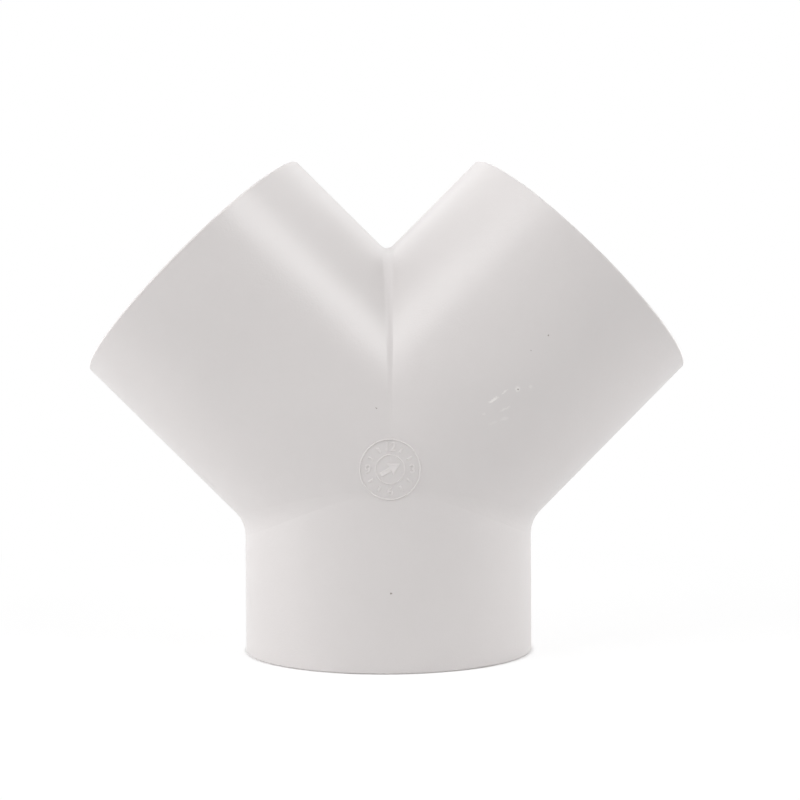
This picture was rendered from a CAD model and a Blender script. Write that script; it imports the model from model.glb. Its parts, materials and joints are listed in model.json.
import json
from math import cos, hypot, pi, radians, sin, sqrt

import bmesh
import bpy
from mathutils import Matrix, Vector


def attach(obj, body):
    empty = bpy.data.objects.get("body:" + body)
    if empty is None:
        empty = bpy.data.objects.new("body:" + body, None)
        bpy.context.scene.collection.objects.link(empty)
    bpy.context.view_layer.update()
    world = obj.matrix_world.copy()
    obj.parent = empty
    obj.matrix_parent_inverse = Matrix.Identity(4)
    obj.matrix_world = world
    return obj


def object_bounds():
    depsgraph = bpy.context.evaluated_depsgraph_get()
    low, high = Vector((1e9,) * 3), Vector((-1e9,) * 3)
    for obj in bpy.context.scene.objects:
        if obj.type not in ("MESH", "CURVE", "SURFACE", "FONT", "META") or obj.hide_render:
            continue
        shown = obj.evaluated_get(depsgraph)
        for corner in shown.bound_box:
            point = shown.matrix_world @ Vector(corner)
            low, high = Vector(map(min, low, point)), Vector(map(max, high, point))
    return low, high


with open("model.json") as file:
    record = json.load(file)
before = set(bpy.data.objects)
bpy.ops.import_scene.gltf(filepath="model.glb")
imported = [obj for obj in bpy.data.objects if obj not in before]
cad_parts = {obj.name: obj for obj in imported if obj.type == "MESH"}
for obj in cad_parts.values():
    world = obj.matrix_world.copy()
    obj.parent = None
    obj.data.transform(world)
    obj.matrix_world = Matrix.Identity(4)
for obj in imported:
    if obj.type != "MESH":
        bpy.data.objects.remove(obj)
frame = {"nodes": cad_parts, "record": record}
cad_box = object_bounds()

MM = 0.001
wye = frame["nodes"]["wye_body"]
scene = bpy.context.scene

# The three axes meet at the junction, below the middle of the branch sockets
mounts = {mount["name"]: mount for mount in frame["record"]["mounts"]}
stem_axis, left_axis, right_axis = (
    Vector(mounts[name]["axis"]) for name in ("stem_socket", "left_socket", "right_socket")
)
socket_radius = mounts["right_socket"]["dims"]["r_mm"] * MM
socket_middle = Vector(mounts["right_socket"]["pos_m"])
junction = socket_middle - right_axis * (socket_middle.x / right_axis.x)

# Outside radii of the branches and, from its widest point low down, of the stem
branch_radius = (cad_box[1][1] - cad_box[0][1]) / 2
stem_radius = max(hypot(v.co.x, v.co.y) for v in wye.data.vertices if v.co.z < 10 * MM)

# How far the dial's centre is right of the junction and above it
dial_right = -0.2 * MM
dial_up = -1.15 * MM
# How far under the skin the slopes of its relief have their foot, and how far the relief reaches
foot_depth = 0.02 * MM
sunk_depth = 0.3 * MM


def place_camera():
    """Square on to the front, close enough to look down a little on the foot of the stem.
    The eye and the point that it looks at are given in millimetres from the junction."""
    data = bpy.data.cameras.new("camera")
    data.lens = 66.65
    data.sensor_width = 36.0
    camera = bpy.data.objects.new("camera", data)
    scene.collection.objects.link(camera)
    eye = junction + Vector((-6.67, -360.5, 16.13)) * MM
    aim = junction + Vector((3.03, 0.0, 13.89)) * MM
    roll = Matrix.Rotation(radians(-0.3), 4, "Z")
    look = (aim - eye).to_track_quat("-Z", "Y").to_matrix().to_4x4()
    camera.matrix_world = Matrix.Translation(eye) @ look @ roll
    scene.camera = camera


def softbox(name, azimuth, elevation, size, radiance):
    """A square lamp, a metre from the junction and facing it. Azimuth 0 is in front and 90 is on
    the right, both angles are in degrees, and the size is in metres."""
    data = bpy.data.lights.new(name, "AREA")
    data.shape = "SQUARE"
    data.size = size
    data.energy = radiance * pi * size * size
    lamp = bpy.data.objects.new(name, data)
    scene.collection.objects.link(lamp)
    level = cos(radians(elevation))
    towards = Vector((
        sin(radians(azimuth)) * level, -cos(radians(azimuth)) * level, sin(radians(elevation))
    ))
    lamp.matrix_world = Matrix.Translation(junction + towards) @ (
        towards.to_track_quat("Z", "Y").to_matrix().to_4x4()
    )
    lamp.visible_camera = False


class Nodes:
    """Short calls that add nodes to a material's or a world's tree and link them."""

    def __init__(self, owner):
        owner.use_nodes = True
        self.tree = owner.node_tree
        self.tree.nodes.clear()

    def add(self, kind, values=None, **settings):
        node = self.tree.nodes.new(kind)
        for key, value in settings.items():
            setattr(node, key, value)
        for key, value in (values or {}).items():
            if isinstance(value, bpy.types.NodeSocket):
                self.tree.links.new(value, node.inputs[key])
            else:
                node.inputs[key].default_value = value
        return node

    def math(self, operation, *values):
        node = self.add("ShaderNodeMath", dict(enumerate(values)), operation=operation)
        return node.outputs[0]

    def vector(self, operation, *values):
        """A vector sum. Lengths, distances and dot products come out as a number."""
        node = self.add("ShaderNodeVectorMath", dict(enumerate(values)), operation=operation)
        single = operation in ("LENGTH", "DISTANCE", "DOT_PRODUCT")
        return node.outputs["Value" if single else "Vector"]

    def blend(self, factor, first, second):
        """The first colour where the factor is 0, and the second where it is 1."""
        node = self.add("ShaderNodeMix", {0: factor, 6: first, 7: second}, data_type="RGBA")
        return node.outputs[2]

    def seen_directly(self):
        """1 for rays from the camera, off glossy surfaces and through clear ones, else 0."""
        path = self.add("ShaderNodeLightPath").outputs
        some = self.math("MAXIMUM", path["Is Camera Ray"], path["Is Glossy Ray"])
        return self.math("MAXIMUM", some, path["Is Transmission Ray"])


def make_world():
    """White all round to look at, with no light of its own. All the light is from the lamps."""
    world = bpy.data.worlds.new("studio")
    nodes = Nodes(world)
    white = {"Color": (1, 1, 1, 1), "Strength": nodes.seen_directly()}
    backdrop = nodes.add("ShaderNodeBackground", white)
    nodes.add("ShaderNodeOutputWorld", {"Surface": backdrop.outputs[0]})
    scene.world = world


def floor_paper():
    """A white light table that glows a little round the object's foot and keeps its soft shadow.
    Where it is looked at, it is lifted towards pure white, and reaches it 0.25 m out, so that no
    horizon shows. Under the foot and close round it neither is done, so the contact stays dark."""
    material = bpy.data.materials.new("floor_paper")
    nodes = Nodes(material)
    place = nodes.add("ShaderNodeTexCoord").outputs["Object"]
    reach = nodes.vector("LENGTH", place)

    def ramp(near, far, first, last):
        """A level that goes from first to last between two distances from the stem's axis."""
        values = {"Value": reach, "From Min": near, "From Max": far, "To Min": first, "To Max": last}
        return nodes.add("ShaderNodeMapRange", values).outputs["Result"]

    # Clear of the contact, the glow fades with the distance and the lift grows, both in metres
    clear = ramp(stem_radius + 0.2 * MM, stem_radius + 1.0 * MM, 0.0, 1.0)
    glow = nodes.math("MULTIPLY", clear, ramp(0.04, 0.2, 0.15, 0.0))
    lift = nodes.math("MULTIPLY", clear, ramp(0.06, 0.25, 0.8, 1.0))
    lift_seen = nodes.math("MULTIPLY", lift, nodes.seen_directly())

    paper = nodes.add("ShaderNodeBsdfDiffuse", {"Color": (0.92, 0.92, 0.92, 1)})
    lamp = nodes.add("ShaderNodeEmission", {"Color": (1, 1, 1, 1), "Strength": glow})
    table = nodes.add("ShaderNodeAddShader", {0: paper.outputs[0], 1: lamp.outputs[0]})
    white = nodes.add("ShaderNodeEmission", {"Color": (1, 1, 1, 1), "Strength": 1.0})
    sides = {0: lift_seen, 1: table.outputs[0], 2: white.outputs[0]}
    mix = nodes.add("ShaderNodeMixShader", sides)
    nodes.add("ShaderNodeOutputMaterial", {"Surface": mix.outputs[0]})
    return material


def lay_floor():
    """A square floor under the object, 6 m wide."""
    half = 3.0
    mesh = bpy.data.meshes.new("floor")
    corners = [(-half, -half, 0), (half, -half, 0), (half, half, 0), (-half, half, 0)]
    mesh.from_pydata(corners, [], [(0, 1, 2, 3)])
    mesh.materials.append(floor_paper())
    floor = bpy.data.objects.new("floor", mesh)
    scene.collection.objects.link(floor)


# Blemishes on the front, in millimetres. Specks: centre from the junction, radius
specks = [
    ((-3.1, -34.7, 12.3), 0.16),
    ((34.9, -35.0, 28.2), 0.15),
    ((31.1, -35.0, 24.9), 0.15),
    ((0.0, -34.6, -28.5), 0.2),
    ((28.1, -34.3, 16.3), 0.16),
]
# Scuffs: centre, half length, half width, tilt from the horizontal in degrees, strength
scuffs = [
    ((22.7, -34.7, 14.0), 1.4, 0.34, 29, 0.75),
    ((25.2, -34.7, 15.8), 1.0, 0.14, 40, 0.5),
    ((28.1, -34.3, 16.4), 0.65, 0.65, 0, 0.5),
    ((25.3, -34.0, 12.0), 1.4, 0.25, 24, 0.3),
    ((31.0, -33.9, 16.9), 0.5, 0.4, 20, 0.25),
    ((25.2, -33.6, 9.8), 1.1, 0.45, 18, 0.2),
    ((22.6, -33.9, 8.9), 1.2, 0.3, 18, 0.15),
    ((20.6, -34.6, 10.9), 0.4, 0.3, 0, 0.2),
]


def moulded_plastic(name, lightness):
    """Light warm grey plastic with the fine satin grain of a spark-eroded mould, a faint parting
    line where the mould's halves met, and a few dark specks and pale scuffs. Lightness scales
    the plastic's own colour."""
    material = bpy.data.materials.new(name)
    nodes = Nodes(material)
    place = nodes.add("ShaderNodeTexCoord").outputs["Object"]
    middle = nodes.vector("SUBTRACT", place, junction)

    def shade(*colour):
        return *(lightness * part for part in colour), 1.0

    def noise(per_metre, detail, output="Fac"):
        values = {"Vector": place, "Scale": per_metre, "Detail": detail}
        return nodes.add("ShaderNodeTexNoise", values).outputs[output]

    def fall(value, near, far, shape="LINEAR"):
        """1 up to near, falling to 0 at far."""
        values = {"Value": value, "From Min": near, "From Max": far, "To Min": 1.0, "To Max": 0.0}
        return nodes.add("ShaderNodeMapRange", values, interpolation_type=shape).outputs["Result"]

    # Blemishes: ovals with ragged edges
    jitter = nodes.vector("SUBTRACT", noise(2200.0, 2.0, "Color"), (0.5, 0.5, 0.5))
    ragged = nodes.vector("ADD", middle, nodes.vector("MULTIPLY", jitter, (0.8 * MM,) * 3))

    def oval(centre, half_length, half_width, tilt=0.0):
        """1 inside and 0 outside. It is 3 mm deep each way, so that it marks the front alone."""
        values = {
            "Vector": ragged,
            "Location": Vector(centre) * MM,
            "Rotation": (0, -radians(tilt), 0),
            "Scale": Vector((half_length, 3.0, half_width)) * MM,
        }
        local = nodes.add("ShaderNodeMapping", values, vector_type="TEXTURE").outputs["Vector"]
        return fall(nodes.vector("LENGTH", local), 0.6, 1.1)

    dark = pale = 0.0
    for centre, radius in specks:
        dark = nodes.math("MAXIMUM", dark, oval(centre, radius, radius))
    for centre, half_length, half_width, tilt, strength in scuffs:
        patch = nodes.math("MULTIPLY", oval(centre, half_length, half_width, tilt), strength)
        pale = nodes.math("MAXIMUM", pale, patch)

    # Colour: broad drifts, then the blemishes
    cloud = noise(30.0, 3.0)
    tint = nodes.add("ShaderNodeValToRGB", {"Fac": cloud})
    low, high = tint.color_ramp.elements
    low.position = 0.3
    low.color = shade(0.608, 0.582, 0.576)
    high.position = 0.7
    high.color = shade(0.632, 0.605, 0.599)
    colour = nodes.blend(pale, tint.outputs["Color"], (0.80, 0.78, 0.76, 1))
    colour = nodes.blend(dark, colour, (0.24, 0.21, 0.19, 1))

    # The parting line, on the centre plane and only outside: away from the tubes' half axes
    nearest = 1.0
    for axis in (stem_axis, left_axis, right_axis):
        along = nodes.math("MAXIMUM", nodes.vector("DOT_PRODUCT", middle, axis), 0.0)
        stretch = nodes.add("ShaderNodeCombineXYZ", dict.fromkeys(range(3), along)).outputs[0]
        on_axis = nodes.vector("MULTIPLY", axis, stretch)
        nearest = nodes.math("MINIMUM", nearest, nodes.vector("DISTANCE", middle, on_axis))
    outside = nodes.math("GREATER_THAN", nearest, socket_radius + 0.5 * MM)
    off_plane = nodes.math(
        "ABSOLUTE", nodes.add("ShaderNodeSeparateXYZ", {0: place}).outputs["Y"]
    )
    seam = nodes.math("MULTIPLY", outside, fall(off_plane, 0.02 * MM, 0.18 * MM, "SMOOTHSTEP"))

    # Relief, each with its depth in millimetres: the parting line, broad ripples, pimples, grain
    normal = None
    grain = noise(2600.0, 4.0)
    for height, depth in (
        (seam, 0.06), (noise(120.0, 2.0), 0.04), (noise(900.0, 2.0), 0.02), (grain, 0.03)
    ):
        values = {"Height": height, "Strength": 1.0, "Distance": depth * MM}
        if normal:
            values["Normal"] = normal
        normal = nodes.add("ShaderNodeBump", values).outputs["Normal"]

    rough = nodes.add("ShaderNodeMapRange", {"Value": grain, "To Min": 0.29, "To Max": 0.39})
    shader = nodes.add(
        "ShaderNodeBsdfPrincipled",
        {
            "Base Color": colour,
            "Roughness": rough.outputs["Result"],
            "IOR": 1.5,
            "Normal": normal,
        },
    )
    nodes.add("ShaderNodeOutputMaterial", {"Surface": shader.outputs[0]})
    return material


def front_skin(x, z):
    """Depth of the front skin at a place given from the junction: the branches' girth is carried
    over the junction by a ball, and the stem stands in below."""
    along = [x * axis.x + z * axis.z for axis in (left_axis, right_axis)]
    across = [hypot(x - t * axis.x, z - t * axis.z) for t, axis in zip(along, (left_axis, right_axis))]
    off_axis = min([hypot(x, z)] + [s for s, t in zip(across, along) if t > 0])
    depth = sqrt(branch_radius ** 2 - off_axis ** 2)
    if z < 0:
        depth = max(depth, sqrt(stem_radius ** 2 - x ** 2))
    return -depth


def on_skin(u, v, height):
    """A point of the dial, u to the right and v up from its centre, standing out by a height."""
    x = dial_right + u
    z = dial_up + v
    return junction + Vector((x, front_skin(x, z) - height, z))


def add_ring(shape, radius, width, height):
    """A rounded ridge round the dial's centre."""
    steps_round = 144
    steps_over = 8
    profile = [(radius + width / 2, -sunk_depth)]
    for step in range(steps_over + 1):
        turn = pi * step / steps_over
        profile.append((radius + width / 2 * cos(turn), height * sin(turn)))
    profile.append((radius - width / 2, -sunk_depth))
    loops = []
    for step in range(steps_round):
        turn = 2 * pi * step / steps_round
        points = [on_skin(r * cos(turn), r * sin(turn), rise) for r, rise in profile]
        loops.append([shape.verts.new(point) for point in points])
    for loop, after in zip(loops, loops[1:] + loops[:1]):
        for i in range(len(profile)):
            j = (i + 1) % len(profile)
            shape.faces.new((loop[i], loop[j], after[j], after[i])).smooth = True


def add_plate(shape, outline, height, slope, place):
    """Bend a flat outline to the skin, as a plate with a flat top and sloping sides. The slope is
    the width of the sides, outside the outline."""
    outline.data.extrude = outline.data.bevel_depth = slope
    outline.data.bevel_resolution = 0
    flat = bpy.data.meshes.new_from_object(outline)
    bpy.data.objects.remove(outline)
    flat.transform(place)
    plate = bmesh.new()
    plate.from_mesh(flat)
    bmesh.ops.remove_doubles(plate, verts=plate.verts, dist=0.001 * MM)
    copies = {}
    for vert in plate.verts:
        # The outline has four levels: 2 is its top, 1 the foot of the slope, and the rest is sunk
        level = round(vert.co.z / slope)
        rise = {2: height, 1: -foot_depth}.get(level, -sunk_depth)
        copies[vert] = shape.verts.new(on_skin(vert.co.x, vert.co.y, rise))
    for face in plate.faces:
        shape.faces.new([copies[vert] for vert in face.verts])
    plate.free()


def numeral(number, size):
    """The outline of a number, centred."""
    text = bpy.data.curves.new("numeral", "FONT")
    text.body = str(number)
    text.size = size
    text.align_x = "CENTER"
    text.align_y = "CENTER"
    text.resolution_u = 3
    return bpy.data.objects.new("numeral", text)


def polygon(points):
    """The outline through points in millimetres."""
    curve = bpy.data.curves.new("polygon", "CURVE")
    curve.dimensions = "2D"
    curve.fill_mode = "BOTH"
    spline = curve.splines.new("POLY")
    spline.points.add(len(points) - 1)
    for point, (x, y) in zip(spline.points, points):
        point.co = (x * MM, y * MM, 0, 1)
    spline.use_cyclic_u = True
    return bpy.data.objects.new("polygon", curve)


def mould_dial():
    """The month dial of the mould in relief: two rings, twelve places with plain numbers at the
    quarters and ticks between them, and a pointer. Heights are above the skin."""
    shape = bmesh.new()
    add_ring(shape, radius=6.65 * MM, width=0.32 * MM, height=0.2 * MM)
    add_ring(shape, radius=3.2 * MM, width=0.28 * MM, height=0.14 * MM)

    place_radius = 4.9 * MM
    numeral_size = 2.8 * MM
    tick = [(-0.15, -0.55), (0.15, -0.55), (0.15, 0.55), (-0.15, 0.55)]
    for month in range(1, 13):
        turned = Matrix.Rotation(-month * pi / 6, 4, "Z")
        place = turned @ Matrix.Translation((0, place_radius, 0))
        if month % 3:
            add_plate(shape, polygon(tick), 0.15 * MM, 0.1 * MM, place)
        else:
            upright = Matrix.Translation(place.translation)
            add_plate(shape, numeral(month, numeral_size), 0.13 * MM, 0.07 * MM, upright)

    hand = [(-0.4, -2.3), (0.4, -2.3), (0.4, 0.1), (1.3, 0.1), (0, 2.3), (-1.3, 0.1), (-0.4, 0.1)]
    to_two = Matrix.Rotation(radians(-60), 4, "Z")
    add_plate(shape, polygon(hand), 0.18 * MM, 0.12 * MM, to_two)

    bmesh.ops.recalc_face_normals(shape, faces=shape.faces)
    mesh = bpy.data.meshes.new("mould_dial")
    shape.to_mesh(mesh)
    shape.free()
    dial = bpy.data.objects.new("mould_dial", mesh)
    scene.collection.objects.link(dial)
    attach(dial, "root")
    return dial


place_camera()
make_world()
lay_floor()
wye.data.materials.clear()
wye.data.materials.append(moulded_plastic("moulded_plastic", 1.0))
# What stands out on the dial is rubbed a little paler
dial = mould_dial()
dial.data.materials.append(moulded_plastic("rubbed_plastic", 1.08))

softbox("key_left", -56, 34, 0.55, 4.8)
softbox("key_right", 46, 42, 0.4, 7.05)
softbox("side_left", -90, 12, 0.8, 2.03)
softbox("side_right", 90, 12, 0.8, 1.78)
softbox("top", 180, 80, 2.0, 0.79)
softbox("back_left", -140, 15, 0.8, 1.03)
softbox("back_right", 140, 15, 0.8, 0.84)

scene.view_settings.view_transform = "Standard"
